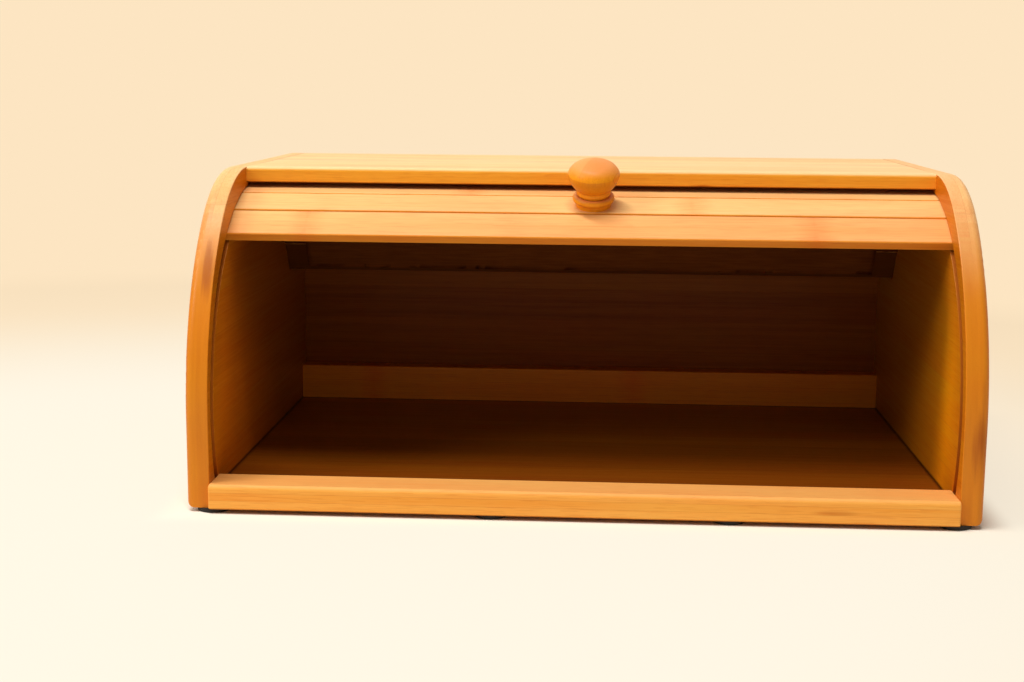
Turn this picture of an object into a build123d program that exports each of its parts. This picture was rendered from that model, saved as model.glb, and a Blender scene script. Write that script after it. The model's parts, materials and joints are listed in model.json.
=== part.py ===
from build123d import *
import math
import os

os.makedirs("parts", exist_ok=True)

# Roll-top bread box in laminated bamboo. Millimetres. X runs along the box, Y from front to back
# and Z up. The origin is on the table under the middle of the box.

# Box
box_length = 400.0
box_depth = 270.0
box_height = 170.0
underside_z = 2.2
front_y = -box_depth / 2
back_y = box_depth / 2

# Side boards: a straight front edge, two tangent arcs and a flat top
side_thickness = 12.0
side_setback = 3.5
side_straight_top = 49.0
lower_arc_radius = 135.0
lower_arc_angle = 47.6
round_over = 4.0
inner_edge_round = 0.5
inner_x = box_length / 2 - side_thickness

# Rails across the front and the back of the floor
front_rail_depth = 23.4
front_rail_top = 15.0
front_rail_round = 2.4
front_rail_end_round = 0.8
rear_rail_y = front_y + 253.0
rear_rail_thickness = 12.0
rear_rail_top = 31.3
rail_edge_round = 1.0

# Floor, let into the rails and the side boards
floor_top = 9.7
floor_thickness = 4.0
floor_tongue = 4.0

# Top board, between the side boards
top_front_y = front_y + 100.0
top_thickness = 8.5
top_round = 2.2
top_under_z = box_height - top_thickness

# Back panel, let into rebates in the side boards and the top board
back_thickness = 5.0
back_rebate = 6.0
back_top_z = 166.0

# Dowels that pin the rails and the top board to the side boards
dowel_into_side = 8.0
dowel_into_board = 20.0
dowel_end_gap = 1.0
dowel_fit = 0.05
dowel_chamfer = 0.6
dowel_rows = {
    "front_rail": (6.0, [(front_y + 8.0, 9.0)]),
    "rear_rail": (6.0, [(rear_rail_y + 6.0, 14.5), (rear_rail_y + 6.0, 25.5)]),
    "top_board": (5.0, [(front_y + along, 166.1) for along in (116.0, 184.0, 252.0)]),
}

# Roll-top door: flat slats on a cloth, running in an arc groove in each side board.
# Angles are in degrees about the centre of the arc, from straight up towards the front.
track_y = front_y + 121.0
track_z = 49.6
slat_count = 9
slat_pitch = 11.1
slat_width = 20.4
slat_thickness = 5.0
slat_inner_radius = 105.8
slat_outer_round = 0.9
slat_inner_round = 0.4
open_angle = 37.95
door_travel = 70.2
slat_into_groove = 5.0
groove_depth = 6.0
groove_clearance = 0.35
groove_end_play = 0.5
groove_below_rail = 1.5
slat_outer_radius = slat_inner_radius + slat_thickness
slat_length = 2 * (inner_x + slat_into_groove)

# Cloth glued to the inner faces of the slats
cloth_thickness = 0.6
cloth_length = 350.0
cloth_margin = 3.0

# Turned knob on the second slat, a little right of the middle, and its screw
knob_slat = 2
knob_x = 4.0
knob_base_radius = 9.4
knob_base_height = 2.2
knob_collar_radius = 11.1
knob_collar_z = 3.7
knob_groove_radius = 8.2
knob_groove_z = 5.9
knob_bead_radius = 9.1
knob_bead_z = 7.4
knob_neck_radius = 8.7
knob_neck_z = 9.2
knob_cheek_radius = 12.3
knob_cheek_z = 13.4
knob_head_radius = 13.75
knob_head_z = 18.6
knob_height = 25.0
knob_crown_radius = 26.8
knob_crown_angle = 19.3
screw_radius = 2.0
screw_reach = 12.0
screw_hole_gap = 0.2
screw_pilot_gap = 0.02
screw_tip_gap = 1.0
screw_tip_taper = 1.2
screw_head_radius = 3.9
screw_head_height = 2.3
screw_head_round = 1.2

# Rubber feet, a row of four under each rail
foot_radius = 8.5
foot_round = 0.6
foot_inset_y = 10.0
foot_row = {"left": -187.0, "mid_left": -45.0, "mid_right": 75.0, "right": 187.0}


def block(x_size, y_range, z_range):
    """A block centred on X = 0, between two Y values and two Z values."""
    (y_low, y_high), (z_low, z_high) = y_range, z_range
    middle = Pos(0, (y_low + y_high) / 2, (z_low + z_high) / 2)
    return middle * Box(x_size, y_high - y_low, z_high - z_low)


def long_edges(solid, low_y, low_z):
    """Its edges along X in one corner of the section: True means the low side of that axis."""
    by_height = solid.edges().filter_by(Axis.X).group_by(Axis.Z)[0 if low_z else -1]
    return by_height.sort_by(Axis.Y)[0 if low_y else -1]


def both_ends(solid):
    """The same thing at the right-hand and the left-hand end of the box."""
    return solid + mirror(solid, about=Plane.YZ)


def dowel_rods(row, clearance=0.0, end_gap=0.0):
    """One end's dowels of a row, or with clearance and end gap the holes they are glued into."""
    diameter, places = dowel_rows[row]
    length = dowel_into_side + dowel_into_board + 2 * end_gap
    middle_x = inner_x + (dowel_into_side - dowel_into_board) / 2
    rod = Rot(0, 90, 0) * Cylinder(diameter / 2 + clearance, length)
    if not end_gap:
        rod = chamfer(rod.edges().filter_by(GeomType.CIRCLE), dowel_chamfer)
    return [Pos(middle_x, y, z) * rod for y, z in places]


def dowel_holes(row):
    return both_ends(Part() + dowel_rods(row, dowel_fit, dowel_end_gap))


def floor_block():
    """The floor panel with its tongues on all four sides, which is also the shape of its grooves."""
    y_range = (front_y + front_rail_depth - floor_tongue, rear_rail_y + floor_tongue)
    return block(2 * (inner_x + floor_tongue), y_range, (floor_top - floor_thickness, floor_top))


def back_block():
    """The back panel, which is also the shape of its rebates."""
    return block(2 * (inner_x + back_rebate), (back_y - back_thickness, back_y), (underside_z, back_top_z))


def track_slot():
    """The door's groove: an arc slot from behind the front rail, over the top, to the open stop."""
    slat_end_radius = math.hypot(slat_outer_radius, slat_width / 2)
    groove_low = slat_inner_radius - groove_clearance
    groove_high = slat_end_radius + groove_clearance
    lowest = open_angle + door_travel + groove_below_rail
    last = open_angle - slat_count * slat_pitch + groove_end_play
    centre_line = CenterArc((track_y, track_z), (groove_low + groove_high) / 2, 90 + last, lowest - last)
    slot = SlotArc(centre_line, groove_high - groove_low)
    return extrude(Plane.YZ.offset(inner_x) * slot, groove_depth, dir=(1, 0, 0))


def side_board():
    """The right-hand side board: outline, round-over, door groove, housings and dowel holes."""
    lean = math.sin(math.radians(lower_arc_angle))
    rise = box_height - side_straight_top
    upper_arc_radius = (rise - lower_arc_radius * lean) / (1 - lean)
    foot = (front_y + side_setback, underside_z)
    front = Line(foot, (front_y + side_setback, side_straight_top))
    lower = JernArc(front @ 1, front % 1, lower_arc_radius, -lower_arc_angle)
    upper = JernArc(lower @ 1, lower % 1, upper_arc_radius, lower_arc_angle - 90)
    rest = Polyline(upper @ 1, (back_y, box_height), (back_y, underside_z), foot)
    outline = make_face(Plane.YZ.offset(inner_x) * (front + lower + upper + rest))
    board = extrude(outline, side_thickness, dir=(1, 0, 0))
    board = fillet(board.faces().sort_by(Axis.X)[-1].edges(), round_over)
    board = fillet(board.faces().sort_by(Axis.X)[0].edges(), inner_edge_round)
    board -= track_slot() + floor_block() + back_block()
    for row in dowel_rows:
        board -= dowel_rods(row, dowel_fit, dowel_end_gap)
    return board


def front_rail():
    rail = block(2 * inner_x, (front_y, front_y + front_rail_depth), (underside_z, front_rail_top))
    rail = fillet(long_edges(rail, low_y=True, low_z=False), front_rail_round)
    rail = fillet(long_edges(rail, low_y=True, low_z=True), rail_edge_round)
    rail = fillet(rail.edges().filter_by(Axis.Z).group_by(Axis.Y)[0], front_rail_end_round)
    return rail - floor_block() - dowel_holes("front_rail")


def rear_rail():
    y_range = (rear_rail_y, rear_rail_y + rear_rail_thickness)
    rail = block(2 * inner_x, y_range, (underside_z, rear_rail_top))
    rail = fillet(long_edges(rail, low_y=True, low_z=False), rail_edge_round)
    return rail - floor_block() - dowel_holes("rear_rail")


def top_board():
    board = block(2 * inner_x, (top_front_y, back_y), (top_under_z, box_height))
    board = fillet(long_edges(board, low_y=True, low_z=False), top_round)
    board = fillet(long_edges(board, low_y=True, low_z=True), rail_edge_round)
    return board - back_block() - dowel_holes("top_board")


def slat_angle(number):
    """Where the middle of a slat is with the door open; slat 1 is the front one."""
    return open_angle - (number - 0.5) * slat_pitch


def slat_place(number):
    """A frame on the middle of a slat's outer face, with Z out of the face."""
    return Pos(0, track_y, track_z) * Rot(slat_angle(number), 0, 0) * Pos(0, 0, slat_outer_radius)


def knob_place():
    """A frame on the outer face of the knob's slat, under the middle of the knob, with Z along its axis."""
    return slat_place(knob_slat) * Pos(knob_x, 0, 0)


def screw_hole():
    """The hole for the knob's screw, in the axes of the slat that carries it."""
    return Pos(knob_x, 0, 0) * Cylinder(screw_radius + screw_hole_gap, 3 * slat_thickness)


def slat(number):
    board = Pos(0, 0, -slat_thickness / 2) * Box(slat_length, slat_width, slat_thickness)
    edges = board.edges().filter_by(Axis.X).group_by(Axis.Z)
    board = fillet(edges[-1], slat_outer_round)
    edges = board.edges().filter_by(Axis.X).group_by(Axis.Z)
    board = fillet(edges[0], slat_inner_round)
    if number == knob_slat:
        board -= screw_hole()
    return slat_place(number) * board


def on_slat(number, along, height):
    """(Y, Z) of a point on a slat: along its face towards the front, and height from the arc's centre."""
    angle = math.radians(slat_angle(number))
    return (
        track_y - height * math.sin(angle) - along * math.cos(angle),
        track_z + height * math.cos(angle) - along * math.sin(angle),
    )


def cloth_backing():
    """A cloth that is flat on each slat's inner face and bends at the seams."""
    to_edge = slat_width / 2 - cloth_margin
    half_pitch = math.radians(slat_pitch / 2)

    def face(height):
        seams = [on_slat(n, -height * math.tan(half_pitch), height) for n in range(1, slat_count)]
        return [on_slat(1, to_edge, height), *seams, on_slat(slat_count, -to_edge, height)]

    outer = face(slat_inner_radius)
    inner = face(slat_inner_radius - cloth_thickness)
    section = make_face(Plane.YZ * Polyline(*outer, *reversed(inner), close=True))
    cloth = extrude(section, cloth_length / 2, both=True)
    return cloth - slat_place(knob_slat) * screw_hole()


def knob():
    """A knob turned in one piece, with a blind pilot hole: base, collar, groove, bead and head."""
    bore = screw_radius + screw_pilot_gap
    bore_top = screw_reach + screw_tip_gap
    base = Polyline((bore, 0), (knob_base_radius, 0), (knob_base_radius, knob_base_height))
    collar = ThreePointArc(base @ 1, (knob_collar_radius, knob_collar_z), (knob_groove_radius, knob_groove_z))
    bead = ThreePointArc(collar @ 1, (knob_bead_radius, knob_bead_z), (knob_neck_radius, knob_neck_z))
    cheek = ThreePointArc(bead @ 1, (knob_cheek_radius, knob_cheek_z), (knob_head_radius, knob_head_z))
    crown_centre = (0, knob_height - knob_crown_radius)
    crown = CenterArc(crown_centre, knob_crown_radius, 90, -knob_crown_angle)
    shoulder = TangentArc(crown @ 1, cheek @ 1, tangent=crown % 1)
    pilot = Polyline((bore, 0), (bore, bore_top), (0, bore_top), crown @ 0)
    section = make_face(Plane.XZ * (base + collar + bead + cheek + shoulder + crown + pilot))
    return knob_place() * revolve(section, Axis.Z)


def knob_screw():
    """The screw from inside, with its domed head on the cloth."""
    head_z = -slat_thickness - cloth_thickness
    shank = Pos(0, 0, (screw_reach + head_z) / 2) * Cylinder(screw_radius, screw_reach - head_z)
    shank = chamfer(shank.edges().filter_by(GeomType.CIRCLE).sort_by(Axis.Z)[-1], screw_tip_taper)
    head = Pos(0, 0, head_z - screw_head_height / 2) * Cylinder(screw_head_radius, screw_head_height)
    head = fillet(head.edges().filter_by(GeomType.CIRCLE).sort_by(Axis.Z)[0], screw_head_round)
    return knob_place() * (shank + head)


def foot(x, end):
    """A rubber foot at this X; end is -1 for the front row and 1 for the rear row."""
    pad = Pos(0, 0, underside_z / 2) * Cylinder(foot_radius, underside_z)
    pad = fillet(pad.edges().filter_by(GeomType.CIRCLE).sort_by(Axis.Z)[0], foot_round)
    return Pos(x, end * (box_depth / 2 - foot_inset_y), 0) * pad


pieces = {
    "right_side": side_board(),
    "front_rail": front_rail(),
    "rear_rail": rear_rail(),
    "floor_panel": floor_block(),
    "top_board": top_board(),
    "back_panel": back_block(),
    "cloth_backing": cloth_backing(),
    "knob": knob(),
    "knob_screw": knob_screw(),
}
pieces["left_side"] = mirror(pieces["right_side"], about=Plane.YZ)
for number in range(1, slat_count + 1):
    pieces[f"slat_{number:02d}"] = slat(number)
for row in dowel_rows:
    pieces[f"{row}_dowels"] = both_ends(Part() + dowel_rods(row))
for end_name, end in (("front", -1), ("rear", 1)):
    for place_name, x in foot_row.items():
        pieces[f"foot_{end_name}_{place_name}"] = foot(x, end)

for name, piece in pieces.items():
    export_step(piece, f"parts/{name}.step")
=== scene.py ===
"""Looks of a roll-top bread box in laminated bamboo, around its fixed frame. Metres, +Z up."""
import bpy
import json
import math
from mathutils import Matrix, Vector, noise


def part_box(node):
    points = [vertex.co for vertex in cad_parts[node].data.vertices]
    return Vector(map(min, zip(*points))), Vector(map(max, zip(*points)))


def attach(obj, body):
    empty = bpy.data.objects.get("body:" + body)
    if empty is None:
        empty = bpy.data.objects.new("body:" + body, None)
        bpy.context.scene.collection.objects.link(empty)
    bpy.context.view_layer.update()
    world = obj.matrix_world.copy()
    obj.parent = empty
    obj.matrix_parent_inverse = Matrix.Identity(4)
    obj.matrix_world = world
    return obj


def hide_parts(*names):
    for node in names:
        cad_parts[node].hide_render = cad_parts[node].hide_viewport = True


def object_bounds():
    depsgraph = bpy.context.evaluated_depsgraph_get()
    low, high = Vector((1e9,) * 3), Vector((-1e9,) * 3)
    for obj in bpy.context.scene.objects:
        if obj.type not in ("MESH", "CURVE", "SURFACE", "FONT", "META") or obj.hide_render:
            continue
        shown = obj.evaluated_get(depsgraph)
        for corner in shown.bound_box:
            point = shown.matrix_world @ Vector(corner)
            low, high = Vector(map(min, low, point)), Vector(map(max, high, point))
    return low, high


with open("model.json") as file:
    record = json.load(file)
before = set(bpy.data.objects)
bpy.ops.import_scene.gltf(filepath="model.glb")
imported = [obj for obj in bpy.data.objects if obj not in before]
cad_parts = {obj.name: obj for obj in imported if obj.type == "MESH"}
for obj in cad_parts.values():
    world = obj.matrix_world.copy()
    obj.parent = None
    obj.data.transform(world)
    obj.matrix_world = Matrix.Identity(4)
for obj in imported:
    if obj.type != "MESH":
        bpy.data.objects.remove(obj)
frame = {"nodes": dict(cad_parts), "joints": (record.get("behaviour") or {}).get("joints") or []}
cad_low, cad_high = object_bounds()
bpy.context.scene.view_settings.view_transform = "Standard"

# Places of the boards
INNER_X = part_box("top_board")[1].x
OUTER_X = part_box("right_side")[1].x
FLOOR_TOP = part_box("floor_panel")[1].z
RAIL_FRONT = -0.135

# The door and its grooves, round the axis of the hinge
TRACK = Vector(frame["joints"][0]["pos_m"])
SLAT_COUNT = 9
SLAT_PITCH = math.radians(11.1)
OPEN_ANGLE = math.radians(37.95)
SLAT_WIDTH = 0.0204
SLAT_THICKNESS = 0.005
SLAT_INNER_RADIUS = 0.1058
SLAT_OUTER_RADIUS = SLAT_INNER_RADIUS + SLAT_THICKNESS
GROOVE_INNER_RADIUS = 0.10545
GROOVE_OUTER_RADIUS = 0.1117
GROOVE_DEPTH = 0.006
KNOB_SLAT = 2
KNOB_X = 0.004


# ---------------------------------------------------------------- Material graphs


def srgb(red, green, blue):
    """A colour as it looks on a screen, 0 to 255, in the linear values of a shader."""
    def linear(value):
        share = value / 255
        return share / 12.92 if share <= 0.04045 else ((share + 0.055) / 1.055) ** 2.4
    return (linear(red), linear(green), linear(blue), 1.0)


class Graph:
    """The nodes of one material. Most methods add a step and return the socket it ends in."""

    def __init__(self, name, **shader_values):
        self.material = bpy.data.materials.new(name)
        self.material.use_nodes = True
        self.nodes = self.material.node_tree.nodes
        self.links = self.material.node_tree.links
        self.shader = self.nodes["Principled BSDF"]
        self.coordinates = self.nodes.new("ShaderNodeTexCoord")
        for socket, value in shader_values.items():
            self.set(socket.replace("_", " "), value)

    def set(self, socket, value):
        """Gives the shader's own socket a value, or links a step to it."""
        self.feed(self.shader.inputs[socket], value)

    def feed(self, socket, value):
        if isinstance(value, bpy.types.NodeSocket):
            self.links.new(value, socket)
        else:
            socket.default_value = value

    def add(self, kind, inputs, output=0, **settings):
        node = self.nodes.new("ShaderNode" + kind)
        for setting, value in settings.items():
            setattr(node, setting, value)
        for socket, value in inputs.items():
            self.feed(node.inputs[socket], value)
        return node.outputs[output]

    def place(self):
        return self.coordinates.outputs["Object"]

    def normal(self):
        return self.coordinates.outputs["Normal"]

    def split(self, vector):
        node = self.nodes.new("ShaderNodeSeparateXYZ")
        self.feed(node.inputs[0], vector)
        return dict(zip("XYZ", node.outputs))

    def join(self, x, y, z):
        return self.add("CombineXYZ", {0: x, 1: y, 2: z})

    def math(self, operation, *values):
        return self.add("Math", dict(enumerate(values)), operation=operation)

    def times(self, first, *others):
        for other in others:
            first = self.math("MULTIPLY", first, other)
        return first

    def scaled(self, value, factor, start):
        """The value times a factor, added to a start."""
        return self.math("MULTIPLY_ADD", value, factor, start)

    def rest(self, share):
        """What a share leaves of 1."""
        return self.math("SUBTRACT", 1.0, share)

    def apart(self, first, second):
        return self.math("ABSOLUTE", self.math("SUBTRACT", first, second))

    def vector(self, operation, *values, output=0):
        return self.add("VectorMath", dict(enumerate(values)), output, operation=operation)

    def length(self, vector):
        return self.vector("LENGTH", vector, output=1)

    def in_axes(self, vector, axes):
        """The vector's parts along three directions."""
        ways = axes.directions
        return self.join(*(self.vector("DOT_PRODUCT", vector, way, output=1) for way in ways))

    def ramp(self, value, low, high, to_low=0.0, to_high=1.0):
        """Smoothly from one value to another, and level beyond them."""
        inputs = {0: value, 1: low, 2: high, 3: to_low, 4: to_high}
        return self.add("MapRange", inputs, interpolation_type="SMOOTHSTEP")

    def noise(self, place, scale=1.0, detail=2.0):
        """Soft noise from 0 to 1."""
        value = self.add("TexNoise", {"Vector": place, "Scale": scale, "Detail": detail})
        return self.add("MapRange", {0: value, 1: 0.3, 2: 0.7, 3: 0.0, 4: 1.0})

    def random(self, x, y, seed):
        """One random value from 0 to 1 for each pair of whole numbers."""
        return self.add("TexWhiteNoise", {"Vector": self.join(x, y, seed)}, noise_dimensions="3D")

    def mix(self, share, first, second, blend="MIX"):
        inputs = {0: share, 6: first, 7: second}
        return self.add("Mix", inputs, output=2, data_type="RGBA", blend_type=blend)

    def bump(self, height, depth, strength):
        """A bump of the given depth in metres, set on the shader."""
        inputs = {"Height": height, "Distance": depth, "Strength": strength}
        self.set("Normal", self.add("Bump", inputs))


# ---------------------------------------------------------------- Bamboo

# Each pair is the pale and the deep end of one tone
STRAW = (srgb(254, 224, 168), srgb(249, 206, 140))
WHEAT = (srgb(252, 212, 150), srgb(246, 190, 120))
PEACH = (srgb(253, 213, 144), srgb(250, 192, 118))
ROSE = (srgb(252, 202, 132), srgb(248, 182, 106))
APRICOT = (srgb(255, 189, 90), srgb(247, 164, 59))
MAIZE = (srgb(250, 190, 108), srgb(246, 174, 86))
AMBER = (srgb(247, 176, 58), srgb(234, 150, 32))
TOFFEE = (srgb(224, 138, 20), srgb(204, 114, 8))
KNOB_CROWN = (srgb(244, 176, 106), srgb(234, 126, 50))
KNOB_SIDE = (srgb(247, 161, 26), srgb(230, 138, 14))
HONEY = (srgb(242, 140, 20), srgb(224, 118, 10))
# GINGER: a brighter copy of HONEY for the right board's inner wall, painted light where the lamp falls
# on that wall
GINGER = (srgb(255, 168, 12), srgb(252, 150, 8))
SORREL = (srgb(236, 148, 18), srgb(218, 126, 8))
TAWNY = (srgb(172, 104, 12), srgb(138, 77, 6))
CARAMEL = (srgb(150, 83, 10), srgb(118, 58, 4))
RUSSET = (srgb(118, 56, 3), srgb(98, 44, 2))
# CHESTNUT: the darker tone of the slats' inner faces, painted shade
CHESTNUT = (srgb(98, 54, 14), srgb(80, 42, 8))
# The brown that faces looking down turn to: painted shade
PAINTED_UNDERSIDE_SHADE = CARAMEL[0]
# The brown of the painted shade behind the door
PAINTED_SHADE_UMBER = srgb(100, 60, 10)
RAW_GROOVE = srgb(184, 98, 18)

# What a mark on the wood multiplies its colour by
KNUCKLE = srgb(250, 200, 176)
BLUSH = srgb(255, 226, 222)
SEAM = srgb(206, 132, 66)
SMUDGE = srgb(196, 164, 124)
JOINT = srgb(84, 52, 34)

# Fibres: how long and how wide their streaks are, and the detail of the noise
BROAD_FIBRES = (0.19, 0.0032, 2.0)
MEDIUM_FIBRES = (0.070, 0.0010, 2.0)
FINE_FIBRES = (0.020, 0.00036, 1.0)
CUT_FIBRES = (0.012, 0.00045, 0.0)

# Where the tone starts, and what fibres and strips add to it
TONE_START = -0.22
BROAD_SHARE = 0.34
MEDIUM_SHARE = 0.30
FINE_SHARE = 0.20
STRIP_SHARE = 0.46

# Dark dashes and pinkish clouds
DASH_LIMITS = (0.68, 0.95)
DASH_STRENGTH = 0.16
CLOUD_SIZE = (0.12, 0.030)
CLOUD_START = 0.3
CLOUD_BY_STRIP = 0.6

# What keeps the noise of one strip or piece apart from the next
STRIP_SHIFT = 23.0
SEED_SHIFT = 1.37
SECOND_SEED = 31.7

# End grain: how far a face looks along the grain where it begins and is complete, and its layers
END_LIMITS = (0.55, 0.86)
PLY_STREAK_WIDTH = 0.0026
PLY_STREAK_LENGTH = 0.05
PORE_SIZE = (0.005, 0.0007)
PORE_SHARE = 0.1
STREAK_SHARE = 0.4
PLY_SHARE = 0.2
BLOCK_SHARE = 0.85

# Tones by direction: the heights of a face's normal between which they fade. On a side board the
# painted light from above goes by its profile, and LEAST_PROFILE keeps its flat sides from counting as
# a profile
# FACING_DOWN: where the painted shade of faces that look down fades in
FACING_DOWN = (-0.6, -0.2)
# FACING_IN: where the painted shade of faces that look into the box fades in
FACING_IN = (-0.75, -0.4)
LEAST_PROFILE = 0.35

# The tone of a front half: the places along Y between which it fades, and its share
FRONT_HALF = (-0.10, 0.09)
FRONT_SHARE = 0.86

# Painted shade behind the door: how much it leans with height, and where it begins and ends. SHADE_EDGE
# is a painted shadow edge close to the opening, where the door's shadow falls on the inner wall
SHADE = (0.9, -0.045, 0.085)
SHADE_EDGE = (0.26, -0.086, -0.050)
SHADE_SHARE = 0.70

# Knuckles, marks, glue lines and joints with other boards. What fades is given by the distances
# between which it does and its values there
KNUCKLE_SPACING = 0.38
KNUCKLE_SHIFT = 7.0
KNUCKLE_WOBBLE = 0.004
KNUCKLE_BAND = (0.0006, 0.013, 0.62, 0.0)
KNUCKLE_LINE = (0.0, 0.0012, 0.2, 0.0)
FAINT_KNUCKLE = 0.22
CLEAR_KNUCKLE = 0.8
KNUCKLE_STREAKS = (0.7, 0.5)
MARK_STREAKS = 0.9
MARK_EDGE = (0.5, 1.7, 1.0, 0.0)
SEAM_EDGE = (0.00003, 0.00016, 1.0, 0.0)
SEAM_STRENGTH = 0.35
JOINT_STRENGTH = 0.85

# Varnish and relief
VARNISH_ROUGHNESS = 0.3
GLOSS = 1.6
ROUGHNESS_START = 0.36
ROUGHNESS_BY_FIBRE = 0.14
ROUGHNESS_IN_GROOVE = 0.4
FINE_HEIGHT = 0.35
MEDIUM_HEIGHT = 0.55
DASH_DEPTH = 0.4
SEAM_DEPTH = 0.9
RELIEF_DEPTH = 0.00007
RELIEF_STRENGTH = 0.5

# Zones of a side board, measured from its inner face, the groove's sides and the hinge's axis
INNER_SKIN = (0.0002, 0.0008)
GROOVE_MOUTH = (0.00005, 0.0002)
GROOVE_BOTTOM_GAP = 0.001
OUTER_SKIN = 0.003
GROOVE_SOFTNESS = 0.0003
ARC_FADE = 0.03
BACK_FADE = 0.04


class Axes:
    """A place and three directions in the frame, which a material takes its coordinates from."""

    def __init__(self, matrix):
        self.origin = matrix.translation
        self.directions = [matrix.col[i].to_3d() for i in range(3)]


def cross_scale(grain, length, width):
    """How a noise is stretched so that its spots are this long along the grain and this wide."""
    return [1 / length if axis == grain else 1 / width for axis in "XYZ"]


def bamboo(name, upright, painted_lit_tone, grain, strips, seed, satin=0.12, painted_underside_shade=0.65,
           painted_light_slope=(0.15, 0.95), axes=None, knuckles=(), marks=(), joints=(), plies=None,
           painted_inside_shade=None, front=None, sheltered=None, painted_shadow_edge=0.0):
    """Laminated bamboo under satin varnish.

    upright     the tone of faces that stand
    upward      the tone of faces that look up, paler with painted light from above
    grain       the axis of the fibres
    strips      for each other axis along which strips are glued, their width and where one starts
    seed        a number that sets the piece's pattern apart
    satin       how much the varnish shines
    underside   the share of painted shade, in brown, on faces that look down
    bleached    how steep a face is where the painted light from above begins, and where it is full
    axes        the Axes that the piece's own coordinates follow
    knuckles    places along the grain of rings that cross every strip
    marks       soft dark patches, each with its centre, half size and strength
    joints      planes where other boards meet it, each with its axis, place and half width of line
    plies       the axis across which end grain shows its layers
    inside      the darker tone of a face that looks into the box, as painted shade
    front       the tone that the front half turns to
    sheltered   for a side board with its routed groove, the tone behind the closed door
    painted_shadow_edge  how much of the painted shade behind the door comes at once, as a painted
    shadow edge close to the opening
    """
    g = Graph(name, Coat_Weight=satin, Coat_Roughness=VARNISH_ROUGHNESS,
              Specular_IOR_Level=GLOSS * satin)
    world, world_normal = g.split(g.place()), g.split(g.normal())
    place, normal = g.place(), g.normal()
    if axes:
        place = g.in_axes(g.vector("SUBTRACT", place, axes.origin), axes)
        normal = g.in_axes(normal, axes)
    parts, facing = g.split(place), g.split(normal)

    # Strips: each has its own tone, its own fibres and a thin glue line round it
    rows, seams = [], []
    for axis, (width, start) in strips.items():
        row = g.math("DIVIDE", g.math("SUBTRACT", parts[axis], start), width)
        rows.append(g.math("FLOOR", row))
        seams.append(g.times(g.math("PINGPONG", row, 0.5), width))
    rows += [0.0] * (2 - len(rows))
    strip = g.random(*rows, seed)
    second = g.random(*rows, seed + SECOND_SEED)
    shift = g.scaled(strip, STRIP_SHIFT, seed * SEED_SHIFT)

    def fibres(length, width, detail):
        stretched = g.vector("MULTIPLY_ADD", place, cross_scale(grain, length, width), shift)
        return g.noise(stretched, detail=detail)

    broad, medium, fine = fibres(*BROAD_FIBRES), fibres(*MEDIUM_FIBRES), fibres(*FINE_FIBRES)
    tone = g.scaled(broad, BROAD_SHARE, TONE_START)
    tone = g.scaled(medium, MEDIUM_SHARE, tone)
    tone = g.scaled(fine, FINE_SHARE, tone)
    tone = g.scaled(strip, STRIP_SHARE, tone)

    # End grain, where a face looks along the fibres
    end = g.ramp(g.math("ABSOLUTE", facing[grain]), *END_LIMITS)
    not_end = g.rest(end)
    layers = [1 / PLY_STREAK_WIDTH if axis == plies else 1 / PLY_STREAK_LENGTH for axis in "XYZ"]
    streaks = g.noise(g.vector("MULTIPLY_ADD", place, layers, [seed] * 3))
    pores = g.noise(g.vector("MULTIPLY", place, cross_scale(grain, *PORE_SIZE)), detail=1.0)
    if plies:
        layer = g.times(g.random(rows[list(strips).index(plies)], 0.0, seed), PLY_SHARE)
    else:
        layer = g.times(strip, BLOCK_SHARE)
    end_tone = g.scaled(pores, PORE_SHARE, g.scaled(streaks, STREAK_SHARE, layer))
    tone = g.math("ADD", g.times(end, end_tone), g.times(not_end, tone))

    # Painted light and shade: paler on faces that look up, browner on faces that look down, and behind
    # the closed door a deeper tone darkened with painted shade
    steepness = world_normal["Z"]
    if sheltered:
        in_profile = g.length(g.join(0.0, world_normal["Y"], world_normal["Z"]))
        steepness = g.math("DIVIDE", steepness, g.math("MAXIMUM", in_profile, LEAST_PROFILE))
    colour = g.mix(g.ramp(steepness, *painted_light_slope), g.mix(tone, *upright), g.mix(tone, *painted_lit_tone))
    if sheltered:
        behind, groove = door_zones(g, world)
        colour = g.mix(behind, colour, g.mix(tone, *sheltered))
        # Painted shade on the inner wall: darker towards the back and the top, with a painted shadow
        # edge near the opening
        dark = g.math("ADD", painted_shade_ramp(g, world, *SHADE, SHADE_SHARE - painted_shadow_edge),
                      painted_shade_ramp(g, world, *SHADE_EDGE, painted_shadow_edge))
        colour = g.mix(g.times(behind, dark), colour, PAINTED_SHADE_UMBER)
    # Painted shade: faces that look down turn brown
    colour = g.mix(g.ramp(world_normal["Z"], *FACING_DOWN, painted_underside_shade, 0.0), colour, PAINTED_UNDERSIDE_SHADE)
    if front:
        colour = g.mix(g.ramp(world["Y"], *FRONT_HALF, FRONT_SHARE, 0.0), colour, g.mix(tone, *front))
    # Painted shade: faces that look into the box take a darker tone
    if painted_inside_shade:
        colour = g.mix(g.ramp(facing["Z"], *FACING_IN, 1.0, 0.0), colour, g.mix(tone, *painted_inside_shade))

    # Pinkish blush in long clouds, stronger in some strips
    cloud_scale = cross_scale(grain, *CLOUD_SIZE)
    cloud = g.noise(g.vector("MULTIPLY_ADD", place, cloud_scale, g.times(shift, not_end)))
    blush = g.times(cloud, g.scaled(g.times(second, not_end), CLOUD_BY_STRIP, CLOUD_START))
    colour = g.mix(blush, colour, BLUSH, "MULTIPLY")

    # Dark dashes where fibre bundles are cut open
    dash = g.ramp(fibres(*CUT_FIBRES), *DASH_LIMITS)
    colour = g.mix(g.times(dash, not_end, DASH_STRENGTH), colour, SEAM, "MULTIPLY")

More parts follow.
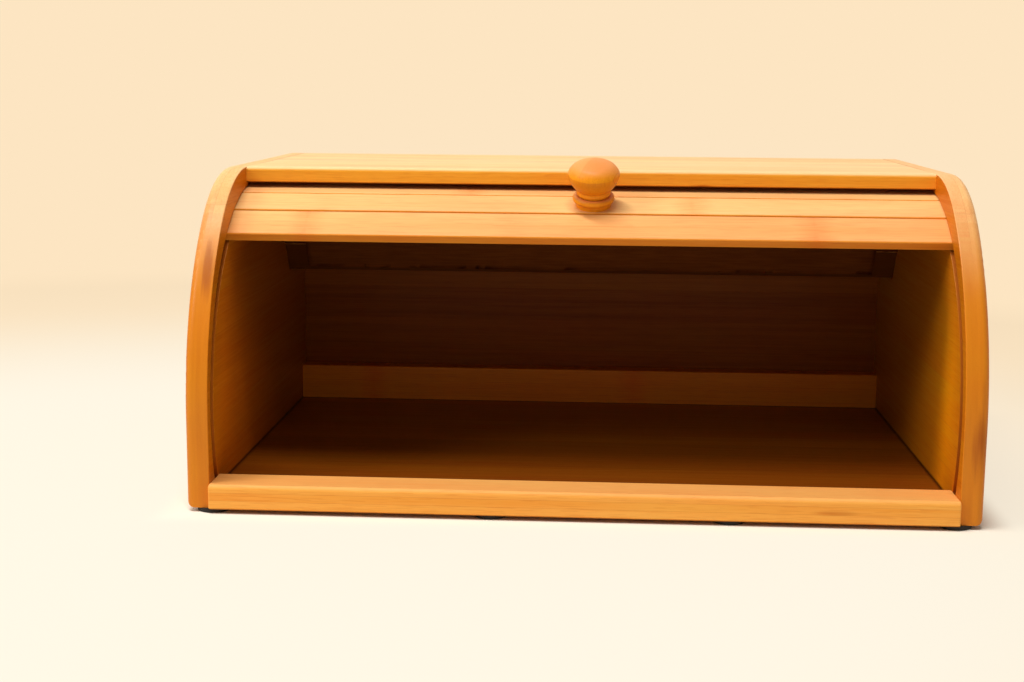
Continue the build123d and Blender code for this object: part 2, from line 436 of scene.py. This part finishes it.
    # Knuckles: rings across a strip, faint ones at random and clear ones at the given places
    wobble = g.times(g.math("SUBTRACT", broad, 0.5), KNUCKLE_WOBBLE)
    ring = g.scaled(parts[grain], 1 / KNUCKLE_SPACING, g.times(strip, KNUCKLE_SHIFT))
    gap = g.times(g.apart(g.math("FRACT", ring), 0.5), KNUCKLE_SPACING)
    bands = knuckle_band(g, g.math("ADD", gap, wobble), g.times(second, FAINT_KNUCKLE))
    for position in knuckles:
        gap = g.math("ADD", g.apart(parts[grain], position), wobble)
        bands = g.math("MAXIMUM", bands, knuckle_band(g, gap, CLEAR_KNUCKLE))
    bands = g.times(bands, g.scaled(fine, *KNUCKLE_STREAKS), not_end)
    colour = g.mix(bands, colour, KNUCKLE, "MULTIPLY")

    for centre, half_size, strength in marks:
        apart = g.vector("ABSOLUTE", g.vector("SUBTRACT", place, centre))
        reach = g.length(g.vector("DIVIDE", apart, half_size))
        within = g.ramp(g.scaled(streaks, MARK_STREAKS, reach), *MARK_EDGE)
        colour = g.mix(g.times(within, strength), colour, SMUDGE, "MULTIPLY")

    seam = 0.0
    if seams:
        nearest = seams[0] if len(seams) == 1 else g.math("MINIMUM", *seams)
        seam = g.times(g.ramp(nearest, *SEAM_EDGE), not_end)
        colour = g.mix(g.times(seam, SEAM_STRENGTH), colour, SEAM, "MULTIPLY")

    for axis, where, half_width in joints:
        apart = g.apart(g.math("ABSOLUTE", world[axis]), where)
        line = g.ramp(apart, 0.0, half_width, JOINT_STRENGTH, 0.0)
        if sheltered:
            line = g.times(line, behind)
        colour = g.mix(line, colour, JOINT, "MULTIPLY")

    rough = g.scaled(medium, ROUGHNESS_BY_FIBRE, ROUGHNESS_START)
    if sheltered:
        colour = g.mix(groove, colour, RAW_GROOVE)
        rough = g.scaled(groove, ROUGHNESS_IN_GROOVE, rough)
        g.set("Coat Weight", g.times(g.rest(groove), satin))

    g.set("Base Color", colour)
    g.set("Roughness", rough)
    raised = g.scaled(fine, FINE_HEIGHT, g.times(medium, MEDIUM_HEIGHT))
    sunk = g.scaled(dash, DASH_DEPTH, g.times(seam, SEAM_DEPTH))
    g.bump(g.math("SUBTRACT", raised, sunk), RELIEF_DEPTH, RELIEF_STRENGTH)
    return g.material


def painted_shade_ramp(g, parts, lean, begin, end, share):
    """Painted shade: from 0 to a share towards the back, sooner the higher a place is."""
    return g.ramp(g.scaled(parts["Z"], lean, parts["Y"]), begin, end, 0.0, share)


def knuckle_band(g, gap, strength):
    """A soft band with a faint dark line in it, this far from the middle of a ring."""
    return g.times(g.math("ADD", g.ramp(gap, *KNUCKLE_BAND), g.ramp(gap, *KNUCKLE_LINE)), strength)


def from_hinge(g, parts):
    """How far a place is from the hinge's axis, along Y and along Z."""
    return g.math("SUBTRACT", parts["Y"], TRACK.y), g.math("SUBTRACT", parts["Z"], TRACK.z)


def door_zones(g, parts):
    """On a side board: 1 on the face behind the closed door, and 1 in the raw routed groove."""
    outward = g.math("ABSOLUTE", parts["X"])
    radius = g.length(g.join(0.0, *from_hinge(g, parts)))
    inner_face = g.ramp(outward, *(INNER_X + depth for depth in INNER_SKIN), 1.0, 0.0)
    in_arc = g.ramp(radius, GROOVE_INNER_RADIUS - ARC_FADE, GROOVE_OUTER_RADIUS, 1.0, 0.0)
    at_back = g.ramp(parts["Y"], TRACK.y, TRACK.y + BACK_FADE)
    behind = g.times(inner_face, g.math("MAXIMUM", in_arc, at_back))
    groove_bottom = INNER_X + GROOVE_DEPTH + GROOVE_BOTTOM_GAP
    groove = g.times(
        g.ramp(outward, *(INNER_X + depth for depth in GROOVE_MOUTH)),
        g.ramp(outward, groove_bottom, OUTER_X - OUTER_SKIN, 1.0, 0.0),
        g.ramp(radius, GROOVE_INNER_RADIUS - GROOVE_SOFTNESS, GROOVE_INNER_RADIUS),
        g.ramp(radius, GROOVE_OUTER_RADIUS, GROOVE_OUTER_RADIUS + GROOVE_SOFTNESS, 1.0, 0.0),
    )
    return behind, groove


# ---------------------------------------------------------------- Other materials

# The two tones that each runs between
DOWEL = (srgb(228, 194, 148), srgb(198, 156, 108))
ZINC = (srgb(206, 206, 200), srgb(168, 170, 168))
RUBBER = (srgb(22, 20, 19), srgb(44, 40, 37))
THREAD = (srgb(66, 32, 8), srgb(124, 68, 22))

SLUB = srgb(140, 80, 30)
FADED_THREAD = srgb(88, 44, 12)

# Streaks along X: how many to a metre along each axis
DOWEL_STREAKS = (90.0, 1500.0, 1500.0)
SLUB_STREAKS = (60.0, 900.0, 900.0)
STEEL_SCRATCHES = (4000.0, 400.0, 400.0)

THREAD_PITCH = 0.0006
SLUB_SHARE = 0.5
FADED_SHARE = 0.35


def dowel_wood(name):
    """Raw pale wood with its grain along the dowel."""
    g = Graph(name, Specular_IOR_Level=0.3)
    streaks = g.noise(g.vector("MULTIPLY", g.place(), DOWEL_STREAKS), detail=3.0)
    g.set("Base Color", g.mix(streaks, *DOWEL))
    g.set("Roughness", g.scaled(streaks, 0.15, 0.6))
    g.bump(streaks, 0.00006, 0.6)
    return g.material


def canvas(name):
    """Plain brown canvas: threads over and under, along the box and round the door's arc."""
    g = Graph(name, Roughness=0.95, Specular_IOR_Level=0.1)
    parts = g.split(g.place())
    along_box = g.math("DIVIDE", parts["X"], THREAD_PITCH)
    round_arc = g.times(g.math("ARCTAN2", *from_hinge(g, parts)), SLAT_INNER_RADIUS / THREAD_PITCH)
    weft, warp = (g.math("ABSOLUTE", g.math("SINE", g.times(way, math.pi)))
                  for way in (along_box, round_arc))
    crossing = g.math("ADD", g.math("FLOOR", along_box), g.math("FLOOR", round_arc))
    over = g.math("GREATER_THAN", g.math("FLOORED_MODULO", crossing, 2.0), 0.5)
    thread = g.math("ADD", g.times(over, weft), g.times(g.rest(over), warp))
    slubs = g.noise(g.vector("MULTIPLY", g.place(), SLUB_STREAKS))
    fade = g.noise(g.place(), scale=28.0, detail=3.0)
    colour = g.mix(g.times(slubs, SLUB_SHARE), g.mix(thread, *THREAD), SLUB)
    g.set("Base Color", g.mix(g.times(fade, FADED_SHARE), colour, FADED_THREAD))
    g.bump(thread, 0.00012, 0.8)
    return g.material


def zinc_steel(name):
    """Zinc-plated steel, a little cloudy."""
    g = Graph(name, Metallic=1.0)
    cloud = g.noise(g.place(), scale=700.0, detail=4.0)
    scratches = g.noise(g.vector("MULTIPLY", g.place(), STEEL_SCRATCHES))
    g.set("Base Color", g.mix(cloud, *ZINC))
    g.set("Roughness", g.scaled(scratches, 0.18, 0.26))
    g.bump(scratches, 0.00002, 0.4)
    return g.material


def rubber(name):
    """Matt black rubber with a fine moulded skin."""
    g = Graph(name, Specular_IOR_Level=0.35)
    skin = g.noise(g.place(), scale=2600.0)
    wear = g.noise(g.place(), scale=240.0, detail=3.0)
    g.set("Base Color", g.mix(wear, *RUBBER))
    g.set("Roughness", g.scaled(wear, 0.2, 0.66))
    g.bump(skin, 0.00005, 0.5)
    return g.material


# ---------------------------------------------------------------- Pieces that replace a node

# The cloth, and the rows of points across it as shares of half a slat's pitch
CLOTH_LENGTH = 0.350
CLOTH_THICKNESS = 0.0006
CLOTH_MARGIN = 0.003
CLOTH_GAP = 0.00002
CLOTH_COLUMNS = 120
CLOTH_ROWS = (-1.0, -0.9, -0.7, -0.35, 0.0, 0.35, 0.7, 0.9)
SLACK_FROM = 0.6
PUCKER = 0.0005
FRAY = 0.00015

# Noise along the cloth: its scale to a metre, the step from slat to slat and its layer
RUFFLE = (55.0, 3.7, 0.5)
END_FRAY = (700.0, 9.1, 2.0)
SIDE_FRAY = (900.0, 5.3, 4.0)

# The screw
SCREW_COLUMNS = 96
SCREW_HEAD_RINGS = 22
SCREW_FIRST_RING = 0.35
SCREW_HEAD_RADIUS = 0.0039
SCREW_HEAD_HEIGHT = 0.0023
SCREW_HEAD_ROUNDNESS = 0.88
RECESS_HALF_WIDTH = 0.0006
RECESS_REACH = 0.0023
RECESS_DEPTH = 0.0013
RECESS_STEEPNESS = 3.0
RECESS_TAPER = 0.5
SCREW_RADIUS = 0.002
SCREW_CORE_RADIUS = 0.0014
SCREW_REACH = 0.012
SCREW_TIP_LENGTH = 0.004
SCREW_TIP_TAPER = 0.7
SCREW_TIP_SHARE = 0.08
THREAD_RISE = 0.0018
THREAD_STEP = 0.00018
THREAD_CREST = 0.28


def slat_angle(number):
    """Where the middle of a slat is with the door open, from straight up towards the front."""
    return OPEN_ANGLE - (number - 0.5) * SLAT_PITCH


def slat_frame(number, x=0.0):
    """Axes on the middle of a slat's outer face, with Z out of the face and Y towards the back."""
    turn = Matrix.Rotation(slat_angle(number), 4, "X")
    return Matrix.Translation(TRACK) @ turn @ Matrix.Translation((x, 0, SLAT_OUTER_RADIUS))


def add_piece(name, points, faces, material, body):
    """A closed smooth mesh in the frame's own coordinates, riding on a body."""
    mesh = bpy.data.meshes.new(name)
    mesh.from_pydata(points, [], faces)
    mesh.validate()
    mesh.polygons.foreach_set("use_smooth", [True] * len(mesh.polygons))
    mesh.materials.append(material)
    piece = bpy.data.objects.new(name, mesh)
    bpy.context.scene.collection.objects.link(piece)
    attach(piece, body)
    return piece


def grid_faces(rows, columns, around=False):
    """Quads between rows of points, closed round the columns or not."""
    last = columns if around else columns - 1
    return [
        (r * columns + c, r * columns + (c + 1) % columns,
         (r + 1) * columns + (c + 1) % columns, (r + 1) * columns + c)
        for r in range(rows - 1) for c in range(last)
    ]


def cloth_noise(distance, number, per_metre, per_slat, layer):
    """Smooth noise over a distance along the cloth, its own on each slat."""
    return noise.noise(Vector((distance * per_metre, number * per_slat, layer)))


def make_canvas():
    """The cloth that joins the slats: flat on each, creased at the seams, with slack puckers there."""
    half_seam = SLAT_INNER_RADIUS * math.tan(SLAT_PITCH / 2)
    end = SLAT_WIDTH / 2 - CLOTH_MARGIN
    stations = [(n, -share * half_seam) for n in range(1, SLAT_COUNT + 1) for share in CLOTH_ROWS]
    stations = [(n, along) for n, along in stations
                if (n > 1 or along <= end) and (n < SLAT_COUNT or along >= -end)]
    stations = [(1, end)] + stations + [(SLAT_COUNT, -end)]

    def layer(depth, puckered):
        points = []
        for number, along in stations:
            turned = slat_frame(number)
            slack = max(0.0, abs(along) / half_seam - SLACK_FROM) / (1 - SLACK_FROM)
            at_end = abs(along) >= end and number in (1, SLAT_COUNT)
            for c in range(CLOTH_COLUMNS):
                x = CLOTH_LENGTH * (c / (CLOTH_COLUMNS - 1) - 0.5)
                at_side = c in (0, CLOTH_COLUMNS - 1)
                ruffle = max(0.0, cloth_noise(x, number, *RUFFLE))
                pucker = PUCKER * ruffle * slack * puckered * (not at_end)
                edge = FRAY * cloth_noise(x, number, *END_FRAY) * at_end
                side = FRAY * cloth_noise(along, number, *SIDE_FRAY) * at_side
                local = Vector((x + side, -along - edge, -SLAT_THICKNESS - depth - pucker))
                points.append(turned @ local)
        return points

    outer = layer(CLOTH_GAP, 0.0)
    inner = layer(CLOTH_THICKNESS, 1.0)
    rows, columns, count = len(stations), CLOTH_COLUMNS, len(outer)
    faces = grid_faces(rows, columns)
    faces += [tuple(count + i for i in reversed(face)) for face in faces]
    rim = list(range(columns))
    rim += [r * columns + columns - 1 for r in range(1, rows)]
    rim += [(rows - 1) * columns + c for c in range(columns - 2, -1, -1)]
    rim += [r * columns for r in range(rows - 2, 0, -1)]
    faces += [(a, a + count, b + count, b) for a, b in zip(rim, rim[1:] + rim[:1])]
    cloth = add_piece("canvas_backing", outer + inner, faces, canvas("brown_canvas"), "door")
    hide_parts("cloth_backing")


def head_rings(base_z):
    """Rings of points from the middle of the screw's domed head, with its cross recess, to the rim."""
    turns = [2 * math.pi * c / SCREW_COLUMNS for c in range(SCREW_COLUMNS)]
    rings = []
    for r in range(SCREW_HEAD_RINGS):
        radius = SCREW_HEAD_RADIUS * (r + SCREW_FIRST_RING) / (SCREW_HEAD_RINGS - 1 + SCREW_FIRST_RING)
        sideways = SCREW_HEAD_ROUNDNESS * radius / SCREW_HEAD_RADIUS
        dome = SCREW_HEAD_HEIGHT * math.sqrt(1 - sideways ** 2)
        ring = []
        for turn in turns:
            x, y = radius * math.cos(turn), radius * math.sin(turn)
            slot = min(abs(x), abs(y)) / RECESS_HALF_WIDTH
            reach = max(abs(x), abs(y)) / RECESS_REACH
            sunk = RECESS_DEPTH * max(0.0, min(1.0, RECESS_STEEPNESS * (1 - max(slot, reach))))
            ring.append((x, y, base_z - dome + sunk * (1 - RECESS_TAPER * min(1.0, reach))))
        rings.append(ring)
    rim = [(SCREW_HEAD_RADIUS * math.cos(turn), SCREW_HEAD_RADIUS * math.sin(turn), base_z)
           for turn in turns]
    return rings + [rim]


def thread_rings(base_z):
    """Rings of points along the screw's thread, from its head to the point."""
    length = SCREW_REACH - base_z
    steps = round(length / THREAD_STEP)
    rings = []
    for i in range(steps + 1):
        z = base_z + length * i / steps
        to_tip = min(1.0, (SCREW_REACH - z) / SCREW_TIP_LENGTH)
        taper = max(SCREW_TIP_SHARE, to_tip ** SCREW_TIP_TAPER)
        ring = []
        for c in range(SCREW_COLUMNS):
            share = c / SCREW_COLUMNS
            phase = (z / THREAD_RISE - share) % 1.0
            crest = max(0.0, 1 - abs(phase - 0.5) / THREAD_CREST)
            radius = (SCREW_CORE_RADIUS + (SCREW_RADIUS - SCREW_CORE_RADIUS) * crest) * taper
            turn = 2 * math.pi * share
            ring.append((radius * math.cos(turn), radius * math.sin(turn), z))
        rings.append(ring)
    return rings


def make_screw():
    """The knob's screw: a domed head with a cross recess, and a wood thread up to the point."""
    place = slat_frame(KNOB_SLAT, KNOB_X)
    base_z = -SLAT_THICKNESS - CLOTH_THICKNESS
    rings = head_rings(base_z) + thread_rings(base_z)
    points = [place @ Vector(point) for ring in rings for point in ring]
    faces = grid_faces(len(rings), SCREW_COLUMNS, around=True)
    faces.append(tuple(reversed(range(SCREW_COLUMNS))))
    faces.append(tuple(range((len(rings) - 1) * SCREW_COLUMNS, len(rings) * SCREW_COLUMNS)))
    screw = add_piece("knob_screw_threaded", points, faces, zinc_steel("zinc_steel"), "door")
    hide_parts("knob_screw")


# ---------------------------------------------------------------- Studio

CAMERA_PLACE = (0.0106, -0.8954, 0.2174)
CAMERA_YAW = math.radians(3.380)
CAMERA_PITCH = math.radians(9.382)
CAMERA_ROLL = math.radians(0.441)
CAMERA_LENS = 55.17
CAMERA_SENSOR = 36.0

# Each lamp's name, place, target, size, power and colour
LAMPS = (
    ("overhead", (-0.36, -0.52, 2.4), (0, -0.06, 0.1), (1.7, 0.22), 46.5, (1.0, 0.97, 0.92)),
    ("front_fill", (-1.25, -0.75, 1.1), (0, 0, 0.08), (0.6, 0.6), 9.5, (1.0, 0.95, 0.87)),
)
SKY = (1.0, 0.94, 0.85, 1.0)
SKY_STRENGTH = 0.22
BACKDROP = srgb(253, 229, 194)

# The floor: its tones, and how far from the lit place each change begins and ends
FLOOR_HALF = 8.0
FLOOR_NEAR = srgb(251, 246, 234)
FLOOR_FAR = srgb(243, 226, 198)
FLOOR_GLOW = srgb(254, 246, 228)
LIT_PLACE = (-0.2, -0.15, 0.0)
TONE_REACH = (0.34, 1.0)
GLOW_REACH = (0.30, 0.80)
GLOW_BLEND = (0.5, 1.1)
# GLOW_BESIDE: the share of that glow beside the box, painted light over the box's shadow
GLOW_BESIDE = 0.78
BOX_MARGIN = 0.02
BACK_MARGIN = 0.001


def make_camera():
    """The photograph's point of view."""
    yaw, pitch, roll = CAMERA_YAW, CAMERA_PITCH, CAMERA_ROLL
    ahead = math.cos(pitch)
    forward = Vector((-math.sin(yaw) * ahead, math.cos(yaw) * ahead, -math.sin(pitch)))
    level = Vector((math.cos(yaw), math.sin(yaw), 0))
    upright = level.cross(forward)
    right = level * math.cos(roll) + upright * math.sin(roll)
    up = upright * math.cos(roll) - level * math.sin(roll)
    data = bpy.data.cameras.new("camera")
    data.lens = CAMERA_LENS
    data.sensor_width = CAMERA_SENSOR
    camera = bpy.data.objects.new("camera", data)
    bpy.context.scene.collection.objects.link(camera)
    axes = Matrix((right, up, -forward)).transposed()
    camera.matrix_world = Matrix.Translation(Vector(CAMERA_PLACE)) @ axes.to_4x4()
    bpy.context.scene.camera = camera


def area_light(name, place, target, size, power, colour):
    """A rectangular lamp that faces its target."""
    data = bpy.data.lights.new(name, "AREA")
    data.shape = "RECTANGLE"
    data.size, data.size_y = size
    data.energy = power
    data.color = colour
    lamp = bpy.data.objects.new(name, data)
    bpy.context.scene.collection.objects.link(lamp)
    lamp.location = place
    lamp.rotation_euler = (Vector(target) - Vector(place)).to_track_quat("-Z", "Y").to_euler()


def make_lights():
    """A long soft lamp overhead, a weaker one high on the front left, and a dim even sky."""
    for lamp in LAMPS:
        area_light(*lamp)
    world = bpy.data.worlds.new("studio")
    bpy.context.scene.world = world
    world.use_nodes = True
    nodes, links = world.node_tree.nodes, world.node_tree.links
    sky = nodes["Background"]
    sky.inputs["Color"].default_value = SKY
    sky.inputs["Strength"].default_value = SKY_STRENGTH
    backdrop = nodes.new("ShaderNodeBackground")
    backdrop.inputs["Color"].default_value = BACKDROP
    mix = nodes.new("ShaderNodeMixShader")
    links.new(seen_directly(nodes, links), mix.inputs[0])
    links.new(sky.outputs[0], mix.inputs[1])
    links.new(backdrop.outputs[0], mix.inputs[2])
    links.new(mix.outputs[0], nodes["World Output"].inputs["Surface"])


def seen_directly(nodes, links):
    """1 for what the camera sees, also in a gloss or through something clear."""
    rays = nodes.new("ShaderNodeLightPath")
    total = rays.outputs["Is Camera Ray"]
    for kind in ("Is Glossy Ray", "Is Transmission Ray"):
        larger = nodes.new("ShaderNodeMath")
        larger.operation = "MAXIMUM"
        links.new(total, larger.inputs[0])
        links.new(rays.outputs[kind], larger.inputs[1])
        total = larger.outputs[0]
    return total


def make_floor():
    """A plain pale floor, near white on the lamps' side, that runs out into the backdrop's cream."""
    mesh = bpy.data.meshes.new("floor")
    corners = [(x * FLOOR_HALF, y * FLOOR_HALF, 0) for x, y in ((-1, -1), (1, -1), (1, 1), (-1, 1))]
    mesh.from_pydata(corners, [], [(0, 1, 2, 3)])
    floor = bpy.data.objects.new("floor", mesh)
    bpy.context.scene.collection.objects.link(floor)
    g = Graph("floor", Roughness=0.75, Specular_IOR_Level=0.2)
    distance = g.length(g.vector("SUBTRACT", g.place(), LIT_PLACE))
    g.set("Base Color", g.mix(g.ramp(distance, *TONE_REACH), FLOOR_NEAR, FLOOR_FAR))

    # Far off and just beside the box, what the camera sees of the floor glows like the backdrop. Beside
    # the box this glow is painted light that thins the box's shadow
    glow = g.nodes.new("ShaderNodeEmission")
    g.feed(glow.inputs["Color"], g.mix(g.ramp(distance, *GLOW_REACH), FLOOR_GLOW, BACKDROP))
    parts = g.split(g.vector("ABSOLUTE", g.place()))
    beside = g.math("MAXIMUM", g.ramp(parts["X"], OUTER_X, OUTER_X + BOX_MARGIN),
                    g.ramp(parts["Y"], cad_high.y - BACK_MARGIN, cad_high.y + BOX_MARGIN))
    glowing = g.math("MAXIMUM", g.ramp(distance, *GLOW_BLEND), g.times(beside, GLOW_BESIDE))
    mix = g.nodes.new("ShaderNodeMixShader")
    g.links.new(g.times(glowing, seen_directly(g.nodes, g.links)), mix.inputs[0])
    g.links.new(g.shader.outputs[0], mix.inputs[1])
    g.links.new(glow.outputs[0], mix.inputs[2])
    g.links.new(mix.outputs[0], g.nodes["Material Output"].inputs["Surface"])
    mesh.materials.append(g.material)


# ---------------------------------------------------------------- Finishing the frame

# Widths of the strips in each kind of board, and where one of them starts
SIDE_STRIPS = (0.0215, 0.0021)
SIDE_PLY = 0.0065
SIDE_PLY_START = INNER_X - 0.0005
TOP_STRIPS = (0.0213, 0.0008)
RAIL_STRIPS = (0.0041, 0.0028)
REAR_STRIPS = (0.0096, 0.0026)
PANEL_STRIPS = (0.0205, 0.001)
KNOB_STRIPS = (0.016, -0.003)
KNOB_BLOCK_TURN = math.radians(-22)

# Half widths of the dark lines where boards meet
SIDE_JOINT = 0.0016
FLOOR_SIDE_JOINT = 0.0022
FLOOR_BACK_JOINT = 0.0040

# Soft dark marks: centre, half size and strength
LEFT_MARK = ((-0.1915, -0.106, 0.1225), (0.0030, 0.020, 0.0165), 0.8)
RIGHT_MARK = ((0.1965, -0.1315, 0.045), (0.0036, 0.016, 0.0180), 0.85)
RAIL_MARK = ((0.1298, RAIL_FRONT, 0.0078), (0.0110, 0.004, 0.0013), 0.45)

# Each side board's name, sign of X, tone behind the door, share of its painted shade at the painted
# shadow edge, and mark. The right board's brighter GINGER and larger share at the edge are painted
# light and a painted shadow edge where the lamp falls on that wall
SIDES = (
    ("left", -1, HONEY, 0.12, LEFT_MARK),
    ("right", 1, GINGER, 0.47, RIGHT_MARK),
)

# Places along X of knuckles, and the slats of a redder tone
SLAT_KNUCKLES = {1: (-0.1477, 0.1193), 2: (0.0565,), 3: (-0.0628,)}
REAR_KNUCKLES = (-0.1406, 0.0304)
ROSE_SLATS = (1, 4, 6, 9)


def finish_node(node, material):
    """Gives a node of the frame this one material."""
    slots = frame["nodes"][node].data.materials
    slots.clear()
    slots.append(material)


def finish_casing():
    for side, sign, sheltered, painted_shadow_edge, mark in SIDES:
        strips = {"Z": SIDE_STRIPS, "X": (SIDE_PLY, sign * SIDE_PLY_START)}
        finish_node(
            f"{side}_side",
            bamboo(f"bamboo_{side}_side", TOFFEE, WHEAT, "Y", strips, 4.0 + sign, painted_light_slope=(0.45, 1.0),
                   plies="X", marks=[mark], joints=[("Z", FLOOR_TOP, SIDE_JOINT)],
                   sheltered=sheltered, painted_shadow_edge=painted_shadow_edge),
        )
    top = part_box("top_board")[0]
    top_mark = ((0.0635, top.y, top.z + 0.0006), (0.0085, 0.003, 0.0012), 0.9)
    finish_node("top_board", bamboo("bamboo_top", AMBER, STRAW, "X", {"Y": TOP_STRIPS}, 9.0,
                                    satin=0.05, painted_inside_shade=CARAMEL, marks=[top_mark]))
    finish_node("front_rail", bamboo("bamboo_front_rail", APRICOT, MAIZE, "X", {"Z": RAIL_STRIPS}, 12.0,
                                     satin=0.04, marks=[RAIL_MARK]))
    finish_node("rear_rail", bamboo("bamboo_rear_rail", SORREL, SORREL, "X", {"Z": REAR_STRIPS}, 15.0,
                                    knuckles=REAR_KNUCKLES))
    edges = [("X", INNER_X, FLOOR_SIDE_JOINT), ("Y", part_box("rear_rail")[0].y, FLOOR_BACK_JOINT)]
    # The floor and the back panel take deeper tones than the outer boards: partly their own browner
    # bamboo, partly painted shade for the dark interior of the box
    finish_node("floor_panel", bamboo("bamboo_floor", TAWNY, TAWNY, "X", {"Y": PANEL_STRIPS}, 18.0,
                                      satin=0.08, front=RUSSET, joints=edges))
    finish_node("back_panel", bamboo("bamboo_back", CARAMEL, CARAMEL, "X", {"Z": PANEL_STRIPS}, 21.0,
                                     satin=0.04))
    raw = dowel_wood("dowel_wood")
    for row in ("front_rail", "rear_rail", "top_board"):
        finish_node(f"{row}_dowels", raw)
    black = rubber("foot_rubber")
    for end in ("front", "rear"):
        for place in ("left", "mid_left", "mid_right", "right"):
            finish_node(f"foot_{end}_{place}", black)


def finish_door():
    for number in range(1, SLAT_COUNT + 1):
        # The paler tone of faces that look up is painted light
        painted_lit_tone = ROSE if number in ROSE_SLATS else PEACH
        finish_node(
            f"slat_{number:02d}",
            bamboo(f"bamboo_slat_{number}", AMBER, painted_lit_tone, "X", {}, 30.0 + 3.1 * number,
                   painted_underside_shade=0.35, axes=Axes(slat_frame(number)), painted_inside_shade=CHESTNUT,
                   knuckles=SLAT_KNUCKLES.get(number, ())),
        )
    turned = slat_frame(KNOB_SLAT, KNOB_X) @ Matrix.Rotation(KNOB_BLOCK_TURN, 4, "Z")
    finish_node("knob", bamboo("turned_bamboo", KNOB_SIDE, KNOB_CROWN, "Z", {"X": KNOB_STRIPS}, 57.0,
                               satin=0.08, painted_underside_shade=0.4, axes=Axes(turned)))
    make_canvas()
    make_screw()


finish_casing()
finish_door()
make_floor()
make_lights()
make_camera()
